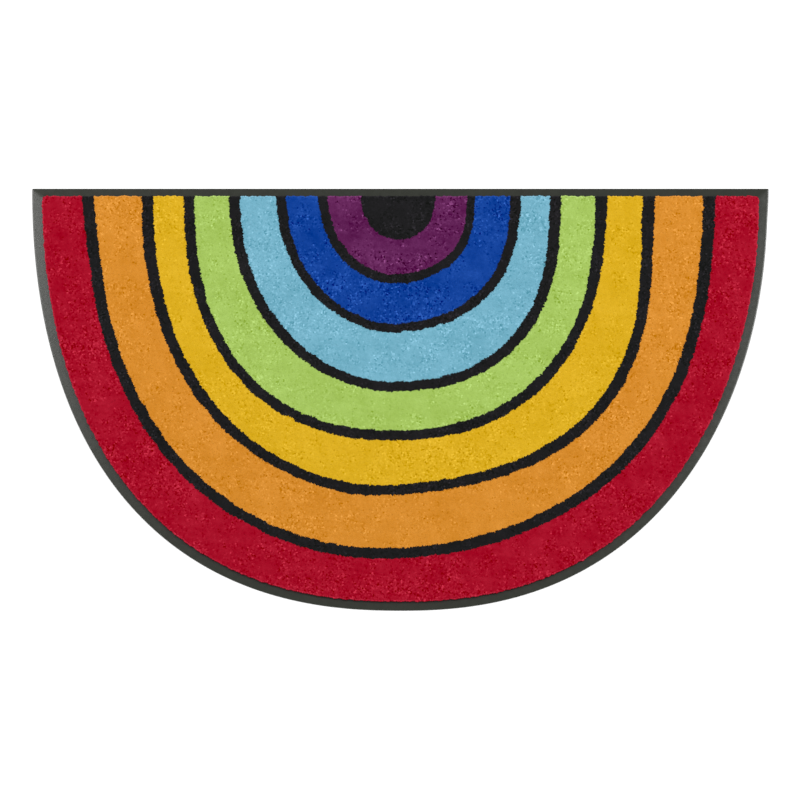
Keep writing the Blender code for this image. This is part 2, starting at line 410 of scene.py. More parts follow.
def corner_points(side_point, corner, side):
    """Points that turn from a side onto the straight edge; side is 1 right, -1 left."""
    angle = np.linspace(0, math.pi / 2, CORNER_STEPS + 1)[1:]
    across = side_point[0] + side * corner * (np.cos(angle) - 1)
    return np.stack([across, side_point[1] + corner * np.sin(angle)], axis=1)


def outline(inset, corner, drawn):
    """The closed outline: curve from right to left, left corner, straight edge, right corner."""
    curve = curve_points(inset, corner, drawn)
    left = corner_points(curve[-1], corner, -1)
    right = corner_points(curve[0], corner, 1)
    across = np.linspace(left[-1][0], right[-1][0], STRAIGHT_STEPS + 1)[1:-1]
    straight = np.stack([across, np.full(len(across), left[-1][1])], axis=1)
    return np.concatenate([curve, left, straight, right[::-1]])


def band_radius(edge, angle, side_of_line):
    """Distance from the centre to the inner side (-1), middle (0) or outer side (1) of the dark
    line on a band's edge."""
    right = np.cos(angle) > 0
    reach = np.where(right, edge.right, edge.left)
    fullness = np.where(right, edge.right_fullness, edge.left_fullness)
    radius = superellipse_radius(angle, reach, edge.depth, fullness)
    fade = np.clip((RIPPLE_END - angle) / RIPPLE_FADE, 0.0, 1.0)
    ripple = edge.ripple * eased(fade) * np.cos(RIPPLE_WAVES * (angle - RIPPLE_CREST))
    rise = np.clip((angle - FLARE_START) / (math.pi - FLARE_START), 0.0, 1.0)
    end_width = np.where(right, edge.right_width, edge.left_width)
    width = edge.front_width + (end_width - edge.front_width) * np.abs(np.cos(angle))
    return radius + ripple + edge.flare * eased(rise) + side_of_line * width / 2


def bands_at(x, y):
    """The name of the printed band at each place."""
    down = np.maximum(PILE_EDGE_Y - y, 0.0)
    angle = np.arctan2(down, x)
    chance = np.random.default_rng(PRINT_SEED)
    radius = np.hypot(x, down) + PRINT_WANDER * soft_waves(x, y, PRINT_WANDER_WAVES, chance)
    band = np.full(len(x), OUTER_BAND, dtype=object)
    for edge in reversed(BAND_EDGES):
        band[radius < band_radius(edge, angle, 1)] = LINE_COLOUR
        band[radius < band_radius(edge, angle, -1)] = edge.inside
    return band


def face_bands(mesh):
    """The name of the printed band that each face lies in."""
    middles = np.empty(len(mesh.polygons) * 3)
    mesh.polygons.foreach_get("center", middles)
    middles = middles.reshape(-1, 3)
    return bands_at(middles[:, 0], middles[:, 1])


def rim_at(x, y):
    """For each place on the pile: distance to its rim and the direction across it, outwards."""
    down = np.maximum(STRAIGHT_EDGE_Y - y, 1e-6)
    across = x - lean_at(down)
    angle = np.arctan2(down, across)
    reach, depth = curve_reach_and_depth(PILE_INSET + rim_draw(angle))
    share = (np.abs(across) / reach) ** MAT_FULLNESS + (down / depth) ** MAT_FULLNESS
    share = share ** (1 / MAT_FULLNESS)
    slope_x = np.sign(across) * (np.abs(across) / reach) ** (MAT_FULLNESS - 1) / reach
    slope_down = (down / depth) ** (MAT_FULLNESS - 1) / depth
    slope = np.hypot(slope_x, slope_down)
    steep = share ** (1 - MAT_FULLNESS) * slope
    swing = outline_wave(angle) * share / np.hypot(across, down)
    to_curve = (1 - share + swing) / np.maximum(steep, 1e-6)
    outward = np.stack([slope_x, -slope_down], axis=1) / np.maximum(slope, 1e-6)[:, None]
    to_straight = PILE_EDGE_Y - y
    nearer = to_straight < to_curve
    outward[nearer] = (0.0, 1.0)
    return np.where(nearer, to_straight, to_curve), outward


def soft_waves(x, y, waves, chance):
    """A smooth field of spread 1, of waves from a shortest to a longest."""
    shortest, longest = waves
    total = np.zeros(len(x))
    for _ in range(FIELD_WAVES):
        heading, phase = chance.uniform(0, 2 * math.pi, 2)
        length = shortest * (longest / shortest) ** chance.uniform(0, 1)
        along = x * math.cos(heading) + y * math.sin(heading)
        total += np.sin(2 * math.pi * along / length + phase)
    return total * math.sqrt(2 / FIELD_WAVES)


# Modelling helpers

def deselect_all():
    """Nothing is selected or active afterwards."""
    for thing in bpy.context.view_layer.objects:
        thing.select_set(False)
    bpy.context.view_layer.objects.active = None


def select_only(piece):
    """Only this piece is selected, and it is active."""
    deselect_all()
    piece.select_set(True)
    bpy.context.view_layer.objects.active = piece


def add_loop(points, height):
    """A closed loop of edges through the points at one height."""
    deselect_all()
    bpy.ops.mesh.primitive_circle_add(vertices=len(points), radius=MAT_WIDTH / 2)
    loop = bpy.context.active_object
    for vertex, (x, y) in zip(loop.data.vertices, points):
        vertex.co = (x, y, height)
    return loop


def join_in_order(pieces, name):
    """One piece made of these, the first one's vertices first."""
    deselect_all()
    for piece in pieces:
        piece.select_set(True)
    bpy.context.view_layer.objects.active = pieces[0]
    bpy.ops.object.join()
    joined = bpy.context.active_object
    joined.name = name
    joined.data.name = name
    return joined


def select_vertices(piece, chosen):
    """In edit mode, only these vertices and the edges between them are selected."""
    bpy.ops.mesh.select_all(action="DESELECT")
    shape = bmesh.from_edit_mesh(piece.data)
    shape.verts.ensure_lookup_table()
    for index in chosen:
        shape.verts[index].select = True
    shape.select_flush(True)
    bmesh.update_edit_mesh(piece.data)


def finish_piece(piece, body):
    """Tie a finished piece to its body."""
    piece.data.validate()
    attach(piece, body)
    deselect_all()


# Shader groups and materials

YARN_OUTPUTS = [("Colour", "NodeSocketColor"), ("Roughness", "NodeSocketFloat")]
BUMPED_OUTPUTS = YARN_OUTPUTS + [("Height", "NodeSocketFloat")]


def new_group(name, inputs, outputs, tree_kind="ShaderNodeTree"):
    """An empty node group with named sockets, and its tree's input and output nodes."""
    group = bpy.data.node_groups.new(name, tree_kind)
    for label, kind, default in inputs:
        socket = group.interface.new_socket(name=label, in_out="INPUT", socket_type=kind)
        if default is not None:
            socket.default_value = default
    for label, kind in outputs:
        group.interface.new_socket(name=label, in_out="OUTPUT", socket_type=kind)
    return group, group.nodes.new("NodeGroupInput"), group.nodes.new("NodeGroupOutput")


def feed(tree, node, inputs):
    """Link each input of a node to a socket or set it to a value."""
    for label, value in inputs.items():
        if isinstance(value, bpy.types.NodeSocket):
            tree.links.new(value, node.inputs[label])
        else:
            node.inputs[label].default_value = value


def add_node(tree, kind, inputs, **options):
    """A node with its options set and its inputs fed by sockets or values."""
    node = tree.nodes.new(kind)
    for name, value in options.items():
        setattr(node, name, value)
    feed(tree, node, inputs)
    return node


def add_math(tree, operation, first, second, kind="ShaderNodeMath"):
    """A math node fed by sockets or numbers; returns its output."""
    return add_node(tree, kind, {0: first, 1: second}, operation=operation).outputs[0]


def add_noise(tree, place, width, detail=2.0, roughness=0.5):
    """A noise whose humps are about as wide as a number or a socket says; returns its value."""
    from_socket = isinstance(width, bpy.types.NodeSocket)
    scale = add_math(tree, "DIVIDE", 1.0, width) if from_socket else 1 / width
    inputs = {"Vector": place, "Scale": scale, "Detail": detail, "Roughness": roughness}
    return add_node(tree, "ShaderNodeTexNoise", inputs).outputs["Fac"]


def add_range(tree, value, between, to=(0.0, 1.0)):
    """A value stretched from one range to another, held at its ends."""
    inputs = {
        "Value": value, "From Min": between[0], "From Max": between[1],
        "To Min": to[0], "To Max": to[1],
    }
    return add_node(tree, "ShaderNodeMapRange", inputs).outputs["Result"]


def add_vector_math(tree, operation, first, second):
    """A vector math node fed by sockets or numbers; returns its output."""
    return add_math(tree, operation, first, second, "ShaderNodeVectorMath")


def add_brightness(tree, colour, factor):
    """A colour multiplied by a factor; returns the new colour."""
    inputs = {0: colour, "Scale": factor}
    return add_node(tree, "ShaderNodeVectorMath", inputs, operation="SCALE").outputs[0]


def yarn_group():
    """Dyed yarn: reads the tufts' map, where across is the tuft's shade and up is its height, and
    darkens it towards the root as painted shade.
    """
    tree, given, result = new_group(
        "Dyed Yarn",
        [
            ("Dye", "NodeSocketColor", (0.5, 0.5, 0.5, 1.0)),
            ("Change", "NodeSocketVector", (0.1, 0.1, 0.1)),
            ("Bend", "NodeSocketFloat", 1.3),
            ("Root Dark", "NodeSocketFloat", 0.10),
        ],
        YARN_OUTPUTS,
    )
    uv = add_node(tree, "ShaderNodeUVMap", {}, uv_map=TUFT_MAP)
    parts = add_node(tree, "ShaderNodeSeparateXYZ", {0: uv.outputs["UV"]})
    shade = add_range(tree, parts.outputs["X"], (MAP_MARGIN, 1 - MAP_MARGIN))
    height = add_range(tree, parts.outputs["Y"], (MAP_LOW, MAP_LOW + MAP_RISE))
    bend = given.outputs["Bend"]
    middle = add_math(tree, "POWER", 0.5, bend)
    lift = add_math(tree, "SUBTRACT", add_math(tree, "POWER", shade, bend), middle)
    lift = add_math(tree, "DIVIDE", lift, add_math(tree, "SUBTRACT", 1.0, middle))
    # Uneven dye and painted glints: pale tufts get lighter and whiter than the dye.
    change = add_brightness(tree, given.outputs["Change"], lift)
    dyed = add_vector_math(tree, "ADD", given.outputs["Dye"], change)
    dyed = add_vector_math(tree, "MAXIMUM", dyed, (0.0, 0.0, 0.0))
    # Painted shade: the yarn gets darker towards its root, where the crowded pile would shade it.
    root = add_math(tree, "SUBTRACT", 1.0, height)
    dark = add_math(tree, "MULTIPLY", root, given.outputs["Root Dark"])
    dyed = add_brightness(tree, dyed, add_math(tree, "SUBTRACT", 1.0, dark))
    rough = add_range(tree, height, (0.0, 1.0), YARN_ROUGHNESS)
    feed(tree, result, {"Colour": dyed, "Roughness": rough})
    return tree


def rubber_group():
    """Pressed rubber: fine grain, faint mottling, and a lip lightened by wear and a painted
    highlight.
    """
    tree, given, result = new_group(
        "Pressed Rubber",
        [
            ("Colour", "NodeSocketColor", (0.03, 0.03, 0.03, 1.0)),
            ("Grain Size", "NodeSocketFloat", 0.0006),
            ("Mottle", "NodeSocketFloat", 0.16),
            ("Rub", "NodeSocketFloat", 2.2),
        ],
        BUMPED_OUTPUTS,
    )
    place = tree.nodes.new("ShaderNodeTexCoord").outputs["Object"]
    cloud = add_noise(tree, place, CLOUD_WIDTH, 3.0, 0.6)
    patch = add_noise(tree, place, MOTTLE_WIDTH, 3.0, 0.6)
    grain = add_noise(tree, place, given.outputs["Grain Size"], 3.0)
    uneven = add_math(tree, "ADD", add_math(tree, "SUBTRACT", cloud, 0.5),
                      add_math(tree, "SUBTRACT", patch, 0.5))
    level = add_math(tree, "MULTIPLY", uneven, given.outputs["Mottle"])
    level = add_math(tree, "ADD", level, 1.0)
    # Wear and painted highlight: the lip is lightened in patches, as worn rubber and as light
    # caught on its rounding.
    parts = add_node(tree, "ShaderNodeSeparateXYZ", {0: place})
    lip = add_range(tree, parts.outputs["Z"], LIP_WEAR_AND_HIGHLIGHT_HEIGHTS)
    worn_and_lit = add_math(tree, "MULTIPLY", lip, given.outputs["Rub"])
    level = add_math(tree, "ADD", level, add_math(tree, "MULTIPLY", worn_and_lit, patch))
    coloured = add_brightness(tree, given.outputs["Colour"], level)
    rough = add_range(tree, patch, NOISE_RANGE, RUBBER_ROUGHNESS)
    feed(tree, result, {"Colour": coloured, "Roughness": rough, "Height": grain})
    return tree


def body_group():
    """Close-packed yarn below the tips, with upright strands: reads the print of its faces,
    darkened a little as painted shade under the tips.
    """
    tree, given, result = new_group(
        "Packed Yarn",
        [("Strand Width", "NodeSocketFloat", 0.0007), ("Dark", "NodeSocketFloat", 0.90)],
        BUMPED_OUTPUTS,
    )
    place = tree.nodes.new("ShaderNodeTexCoord").outputs["Object"]
    squeeze = (1.0, 1.0, STRAND_SQUEEZE)
    upright = add_node(tree, "ShaderNodeMapping", {"Vector": place, "Scale": squeeze})
    height = add_noise(tree, upright.outputs[0], given.outputs["Strand Width"])
    dyed = add_node(tree, "ShaderNodeAttribute", {}, attribute_name="print").outputs["Color"]
    level = add_range(tree, height, NOISE_RANGE, STRAND_LEVELS)
    # Painted shade: the whole body is darkened a little, for the shade it lies in under the tips.
    level = add_math(tree, "MULTIPLY", level, given.outputs["Dark"])
    dyed = add_brightness(tree, dyed, level)
    rough = add_range(tree, height, NOISE_RANGE, STRAND_ROUGHNESS)
    feed(tree, result, {"Colour": dyed, "Roughness": rough, "Height": height})
    return tree


def group_of(name, maker):
    """The shader group of this name, made once."""
    return bpy.data.node_groups.get(name) or maker()


def new_material(name, group, values, bump_distance=None, specular=0.5):
    """A Principled material fed by a shader group."""
    material = bpy.data.materials.new(name)
    material.use_nodes = True
    tree = material.node_tree
    effect = add_node(tree, "ShaderNodeGroup", values, node_tree=group)
    inputs = {
        "Base Color": effect.outputs["Colour"],
        "Roughness": effect.outputs["Roughness"],
        "Specular IOR Level": specular,
    }
    if bump_distance:
        bump = {"Height": effect.outputs["Height"], "Distance": bump_distance}
        inputs["Normal"] = add_node(tree, "ShaderNodeBump", bump).outputs["Normal"]
    feed(tree, tree.nodes["Principled BSDF"], inputs)
    return material


# Operators

class RUG_OT_rubber_sheet(bpy.types.Operator):
    """Make the pressed rubber sheet with its sloping border"""

    bl_idname = "rug.rubber_sheet"
    bl_label = "Rubber Sheet"

    def execute(self, context):
        settings = context.scene.rug_rubber
        loops = []
        for row in RUBBER_SECTION:
            loops.append(add_loop(outline(row.inset, row.corner, row.drawn), row.height))
        count = len(loops[0].data.vertices)
        sheet = join_in_order(loops, "rubber_sheet")
        bpy.ops.object.mode_set(mode="EDIT")
        for first in range(0, count * (len(RUBBER_SECTION) - 1), count):
            select_vertices(sheet, range(first, first + 2 * count))
            bpy.ops.mesh.bridge_edge_loops()
        for first in (0, count * (len(RUBBER_SECTION) - 1)):
            select_vertices(sheet, range(first, first + count))
            bpy.ops.mesh.edge_face_add()
        bpy.ops.mesh.select_all(action="SELECT")
        bpy.ops.mesh.normals_make_consistent(inside=False)
        bpy.ops.object.mode_set(mode="OBJECT")
        bpy.ops.object.shade_smooth_by_angle(angle=SHARP_ANGLE)
        rubber = new_material(
            "pressed_rubber", group_of("Pressed Rubber", rubber_group),
            {"Colour": (*settings.colour, 1.0), "Grain Size": settings.grain_size},
            bump_distance=RUBBER_BUMP,
        )
        sheet.data.materials.append(rubber)
        finish_piece(sheet, "root")
        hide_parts("rubber_backing")
        return {"FINISHED"}


class RUG_OT_pile_body(bpy.types.Operator):
    """Make the close-packed yarn under the tips, printed in bands like them"""

    bl_idname = "rug.pile_body"
    bl_label = "Pile Body"

    def execute(self, context):
        settings = context.scene.rug_pile
        top = PILE_TOP - settings.height_spread - settings.tip_height
        angle = np.linspace(0, math.pi, CURVE_STEPS + 1)
        arches = [(BAND_EDGES[0], 0)]
        for edge in BAND_EDGES[1:]:
            arches += [(edge, -1), (edge, 1)]
        rows = []
        for edge, side in arches:
            radius = band_radius(edge, angle, side)
            across, down = radius * np.cos(angle), radius * np.sin(angle)
            rows.append(np.stack([across, PILE_EDGE_Y - down], 1))
        rim = curve_points(PILE_INSET + BODY_INSET, PILE_CORNER, 1.0)
        rim[0], rim[-1] = (rim[0][0], PILE_EDGE_Y), (rim[-1][0], PILE_EDGE_Y)
        rows.append(rim)
        for row in rows:
            row[:, 1] = np.minimum(row[:, 1], PILE_EDGE_Y - BODY_INSET)
        mesh = bpy.data.meshes.new("pile_body")
        count = CURVE_STEPS + 1
        points = [(x, y, top) for row in rows for x, y in row]
        edges = []
        for row in range(len(rows)):
            edges += [(row * count + i, row * count + i + 1) for i in range(CURVE_STEPS)]
        edges.append((CURVE_STEPS, 0))
        mesh.from_pydata(points, edges, [])
        body = bpy.data.objects.new("pile_body", mesh)
        context.collection.objects.link(body)
        select_only(body)
        bpy.ops.object.mode_set(mode="EDIT")
        select_vertices(body, range(count))
        bpy.ops.mesh.edge_face_add()
        for row in range(len(rows) - 1):
            self.select_rows(body, row * count, count)
            bpy.ops.mesh.bridge_edge_loops()
        bpy.ops.mesh.select_all(action="SELECT")
        bpy.ops.mesh.normals_make_consistent(inside=False)
        bpy.ops.object.mode_set(mode="OBJECT")
        solid = body.modifiers.new("Thickness", "SOLIDIFY")
        solid.thickness = top - PILE_LOW.z
        solid.offset = -1.0
        bpy.ops.object.modifier_apply(modifier=solid.name)
        self.print_bands(body, settings)
        packed = new_material(
            "packed_yarn", group_of("Packed Yarn", body_group), {},
            bump_distance=STRAND_BUMP, specular=0.0,
        )
        body.data.materials.append(packed)
        finish_piece(body, "root")
        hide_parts("pile")
        return {"FINISHED"}

    def select_rows(self, body, first, count):
        """In edit mode, select the edges of two neighbouring rows."""
        bpy.ops.mesh.select_all(action="DESELECT")
        shape = bmesh.from_edit_mesh(body.data)
        shape.edges.ensure_lookup_table()
        for edge in shape.edges:
            low, high = sorted(vertex.index for vertex in edge.verts)
            if high == low + 1 and first <= low and high < first + 2 * count:
                edge.select = low != first + count - 1
        bmesh.update_edit_mesh(body.data)

    def print_bands(self, body, settings):
        """Give each corner of the body the dye of the band that its face lies in."""
        mesh = body.data
        dyes = mesh.color_attributes.new("print", "FLOAT_COLOR", "CORNER")
        for face, band in zip(mesh.polygons, face_bands(mesh)):
            for corner in face.loop_indices:
                dyes.data[corner].color = (*getattr(settings, band), 1.0)


class RUG_OT_tufts(bpy.types.Operator):
    """Set out the tufts of the pile and part them by their dye"""

    bl_idname = "rug.tufts"
    bl_label = "Tufts"

    def execute(self, context):
        settings = context.scene.rug_pile
        forms = self.model_forms()
        growth = self.growth(settings)
        tufts = self.plant(context, growth, self.scatter_group(forms))
        for form in forms.objects[:]:
            bpy.data.objects.remove(form)
        bpy.data.collections.remove(forms)
        pieces = self.part_by_dye(context, tufts, settings)
        return {"FINISHED"}

    def model_forms(self):
        """The few forms of a tuft, one unit wide and one unit high, standing on the origin."""
        holder = bpy.data.collections.new("tuft_forms")
        for number, form in enumerate(TIP_FORMS + RIM_FORMS):
            deselect_all()
            if form.root_width is None:
                bpy.ops.mesh.primitive_cone_add(
                    vertices=form.sides, radius1=0.5, radius2=0.0, depth=1.0,
                    end_fill_type="NOTHING", location=(0, 0, 0.5),
                )
            else:
                stem = 1.0 - form.crown
                bpy.ops.mesh.primitive_cylinder_add(
                    vertices=form.sides, radius=0.5, depth=stem, location=(0, 0, stem / 2),
                )
            tuft = bpy.context.active_object
            tuft.name = f"tuft_form_{number}"
            bpy.ops.object.transform_apply(location=True)
            bpy.ops.object.mode_set(mode="EDIT")
            if form.root_width is not None:
                self.select_facing(tuft, -1)
                bpy.ops.transform.resize(value=(form.root_width, form.root_width, 1))
                bpy.ops.mesh.delete(type="ONLY_FACE")
                self.select_facing(tuft, 1)
                bpy.ops.mesh.poke(offset=form.crown)
            bpy.ops.mesh.select_all(action="SELECT")
            bpy.ops.transform.resize(value=(1, form.oval, 1))
            shape = bmesh.from_edit_mesh(tuft.data)
            for vertex in shape.verts:
                vertex.select = vertex.co.z > 0.999
            shape.select_flush(False)
            bmesh.update_edit_mesh(tuft.data)
            bpy.ops.transform.translate(value=(form.tip_shift, 0, 0))
            bpy.ops.object.mode_set(mode="OBJECT")
            bpy.ops.object.shade_smooth()
            mesh = tuft.data
            along = mesh.attributes.new("along", "FLOAT", "POINT")
            along.data.foreach_set("value", [vertex.co.z for vertex in mesh.vertices])
            for layer in list(mesh.uv_layers):
                mesh.uv_layers.remove(layer)
            for owner in list(tuft.users_collection):
                owner.objects.unlink(tuft)
            holder.objects.link(tuft)
        return holder

    def select_facing(self, tuft, way):
        """In edit mode, select only the end face that looks up (way 1) or down (way -1)."""
        bpy.ops.mesh.select_all(action="DESELECT")
        shape = bmesh.from_edit_mesh(tuft.data)
        for face in shape.faces:
            face.select_set(face.normal.z * way > 0.5)
        bmesh.update_edit_mesh(tuft.data)

    def inner_places(self, settings, chance):
        """Places of the inner tufts: a turned hexagonal grid, each place moved by chance."""
        step = settings.tuft_spacing * math.sqrt(2 / math.sqrt(3))
        half = int(MAT_WIDTH / step)
        across, up = np.meshgrid(np.arange(-half, half + 1), np.arange(-half, half + 1))
        across = (across + 0.5 * (up % 2)) * step
        up = up * step * math.sqrt(3) / 2
        x = (across * math.cos(GRID_TURN) - up * math.sin(GRID_TURN)).ravel()
        y = (across * math.sin(GRID_TURN) + up * math.cos(GRID_TURN)).ravel()
        x = x + chance.uniform(-TUFT_JITTER, TUFT_JITTER, len(x)) * step
        y = y + chance.uniform(-TUFT_JITTER, TUFT_JITTER, len(y)) * step
        inside = (y < PILE_EDGE_Y) & (y > -MAT_DEPTH) & (np.abs(x) < MAT_WIDTH / 2)
        x, y = x[inside], y[inside]
        distance, _ = rim_at(x, y)
        kept = distance > settings.rim_width / 2 + settings.tuft_spacing * RIM_CLEARANCE
        return x[kept], y[kept]

    def rim_places(self, settings, chance):
        """Places of the row along the rim, evenly spaced and a little uneven."""
        line = outline(PILE_INSET + RIM_SPLAY + settings.rim_width / 2, PILE_CORNER, 1.0)
        line = np.concatenate([line, line[:1]])
        along = np.concatenate([[0], np.cumsum(np.linalg.norm(np.diff(line, axis=0), axis=1))])
        count = int(along[-1] / (settings.rim_width * RIM_STEP))
        play = chance.uniform(-RIM_JITTER, RIM_JITTER, count)
        at = (np.arange(count) + play) * along[-1] / count
        at = np.mod(at, along[-1])
        return np.interp(at, along, line[:, 0]), np.interp(at, along, line[:, 1])

    def growth(self, settings):
        """For each tuft: root, direction, turn, size, shade and form."""
        chance = np.random.default_rng(settings.seed)
        inner_x, inner_y = self.inner_places(settings, chance)
        rim_x, rim_y = self.rim_places(settings, chance)
        x, y = np.concatenate([inner_x, rim_x]), np.concatenate([inner_y, rim_y])
        count = len(x)
        at_rim = np.arange(count) >= len(inner_x)
        distance, outward = rim_at(x, y)
        swing = RIM_WANDER * at_rim * soft_waves(x, y, RIM_WANDER_WAVES, chance)
        x, y = x + outward[:, 0] * swing, y + outward[:, 1] * swing
        from_rim = distance - RIM_SPLAY * at_rim
        near_rim = np.clip(1 - from_rim / RIM_SHOULDER, 0, 1)
        lean = chance.normal(0, OWN_LEAN, (count, 2))
        for waves in (NAP_WAVES, CURL_WAVES):
            across, along = soft_waves(x, y, waves, chance), soft_waves(x, y, waves, chance)
            lean += np.stack([across, along], 1) * SHARED_LEAN
        length = np.linalg.norm(lean, axis=1, keepdims=True)
        lean = lean / np.maximum(length, 1.0) * math.tan(settings.tuft_lean)
        splay = np.where(at_rim, chance.uniform(*SPLAY_RANGE, count), near_rim)
        splay *= RIM_SPLAY / (PILE_TOP - RIM_FOOT)
        lean = lean * (1 - near_rim)[:, None] + outward * splay[:, None]
        direction = np.concatenate([lean, np.ones((count, 1))], 1)
        direction /= np.linalg.norm(direction, axis=1, keepdims=True)
        top = PILE_TOP - settings.height_spread * chance.beta(2, 2, count)
        top = top - RIM_DROP * near_rim ** 2
        root = np.where(at_rim, RIM_FOOT, top - settings.tip_height)
        width = np.where(at_rim, settings.rim_width, settings.tip_width)
        width = width * chance.uniform(1 - WIDTH_JITTER, 1 + WIDTH_JITTER, count)
        form = chance.integers(0, len(TIP_FORMS), count)
        form[at_rim] = len(TIP_FORMS) + chance.integers(0, len(RIM_FORMS), at_rim.sum())
        # Painted light: tufts near the rim are made lighter, for light on the pile's shoulder and
        # against its shade there.
        painted_rim_light = RIM_PAINTED_LIGHT * np.clip(1 - from_rim / RIM_PAINTED_LIGHT_WIDTH, 0, 1)
        return {
            "root": np.stack([x, y, root], 1),
            "direction": direction,
            "turn": chance.uniform(0, 2 * math.pi, count),
            "size": np.stack([width, width, (top - root) / direction[:, 2]], 1),
            "shade": np.clip(self.shade(x, y, chance) + painted_rim_light, 0, 1),
            "form": form,
        }

    def shade(self, x, y, chance):
        """How light each tuft is, from 0 to 1."""
        own = chance.laplace(0, math.sqrt(0.5), len(x))
        patches = 1 + PATCH_STRENGTH * soft_waves(x, y, PATCH_WAVES, chance)
        tone = TONE_SHARE * soft_waves(x, y, TONE_WAVES, chance)
        total = own * np.clip(patches, *PATCH_RANGE) + tone
        shade = np.clip(0.5 + SHADE_STEP * total, 0.0, 1.0)
        shade[chance.random(len(x)) < DARK_SPECKS] = SPECK_SHADE
        return shade

    def scatter_group(self, forms):
        """Geometry Nodes that stand a tuft on each root and lay out its map."""
        tree, given, result = new_group(
            "Set Out Tufts", [("Geometry", "NodeSocketGeometry", None)],
            [("Geometry", "NodeSocketGeometry")], "GeometryNodeTree",
        )

        def named(attribute, kind):
            """Reads one of the attributes that the roots carry."""
            node = add_node(
                tree, "GeometryNodeInputNamedAttribute", {"Name": attribute}, data_type=kind,
            )
            return node.outputs["Attribute"]

        holder = add_node(tree, "GeometryNodeCollectionInfo", {
            "Collection": forms, "Separate Children": True, "Reset Children": True,
        })
        turn = add_node(tree, "FunctionNodeAxisAngleToRotation", {
            "Axis": (0, 0, 1), "Angle": named("turn", "FLOAT"),
        })
        align = add_node(tree, "FunctionNodeAlignRotationToVector", {
            "Rotation": turn.outputs["Rotation"], "Vector": named("direction", "FLOAT_VECTOR"),
        }, axis="Z")
        stand = add_node(tree, "GeometryNodeInstanceOnPoints", {
            "Points": given.outputs[0], "Instance": holder.outputs[0], "Pick Instance": True,
            "Instance Index": named("form", "INT"), "Rotation": align.outputs["Rotation"],
            "Scale": named("size", "FLOAT_VECTOR"),
        })
        real = add_node(tree, "GeometryNodeRealizeInstances", {"Geometry": stand.outputs[0]})
        across = add_math(tree, "MULTIPLY", named("shade", "FLOAT"), 1 - 2 * MAP_MARGIN)
        corner = tree.nodes.new("GeometryNodeInputIndex")
        other = add_math(tree, "MODULO", corner.outputs[0], 2.0)
        across = add_math(tree, "ADD", across, add_math(tree, "MULTIPLY", other, MAP_STRIP))
        up = add_math(tree, "MULTIPLY", named("along", "FLOAT"), MAP_RISE)
        place = add_node(tree, "ShaderNodeCombineXYZ", {
            "X": add_math(tree, "ADD", across, MAP_MARGIN),
            "Y": add_math(tree, "ADD", up, MAP_LOW),
        })
        store = add_node(tree, "GeometryNodeStoreNamedAttribute", {
            "Name": TUFT_MAP, "Geometry": real.outputs[0], "Value": place.outputs[0],
        }, data_type="FLOAT2", domain="CORNER")
        feed(tree, result, {0: store.outputs["Geometry"]})
        return tree

    def plant(self, context, growth, scatter):
        """All the tufts as one mesh, with their map and nothing else on it."""
        mesh = bpy.data.meshes.new("tufts")
        mesh.from_pydata(growth["root"].tolist(), [], [])
        for attribute, kind in (
            ("direction", "FLOAT_VECTOR"), ("size", "FLOAT_VECTOR"), ("turn", "FLOAT"),
            ("shade", "FLOAT"), ("form", "INT"),
        ):
            layer = mesh.attributes.new(attribute, kind, "POINT")
            field = "vector" if kind == "FLOAT_VECTOR" else "value"
            layer.data.foreach_set(field, growth[attribute].ravel())
        tufts = bpy.data.objects.new("tufts", mesh)
        context.collection.objects.link(tufts)
        select_only(tufts)
        setting_out = tufts.modifiers.new("Set Out Tufts", "NODES")
        setting_out.node_group = scatter
        bpy.ops.object.modifier_apply(modifier=setting_out.name)
        for attribute in ("direction", "size", "turn", "shade", "form", "along"):
            if attribute in tufts.data.attributes:
                tufts.data.attributes.remove(tufts.data.attributes[attribute])
        return tufts

    def part_by_dye(self, context, tufts, settings):
        """Dye each face by the band it lies in and part the tufts into one piece a dye."""
        mesh = tufts.data
        mesh.materials.clear()
        for name, dye in DYES.items():
            yarn = new_material(
                "yarn_" + name, group_of("Dyed Yarn", yarn_group),
                {"Dye": (*getattr(settings, name), 1.0), "Change": dye.change, "Bend": dye.bend},
                specular=0.0,
            )
            mesh.materials.append(yarn)
        band = face_bands(mesh)
        slots = np.zeros(len(band), dtype=np.int32)
        for number, name in enumerate(DYES):
            slots[band == name] = number
        mesh.polygons.foreach_set("material_index", slots)
        select_only(tufts)
        bpy.ops.mesh.separate(type="MATERIAL")
        pieces = list(context.selected_objects)
        for piece in pieces:
            name = piece.active_material.name.removeprefix("yarn_")
            piece.name = piece.data.name = "tufts_" + name
            finish_piece(piece, "root")
        return pieces


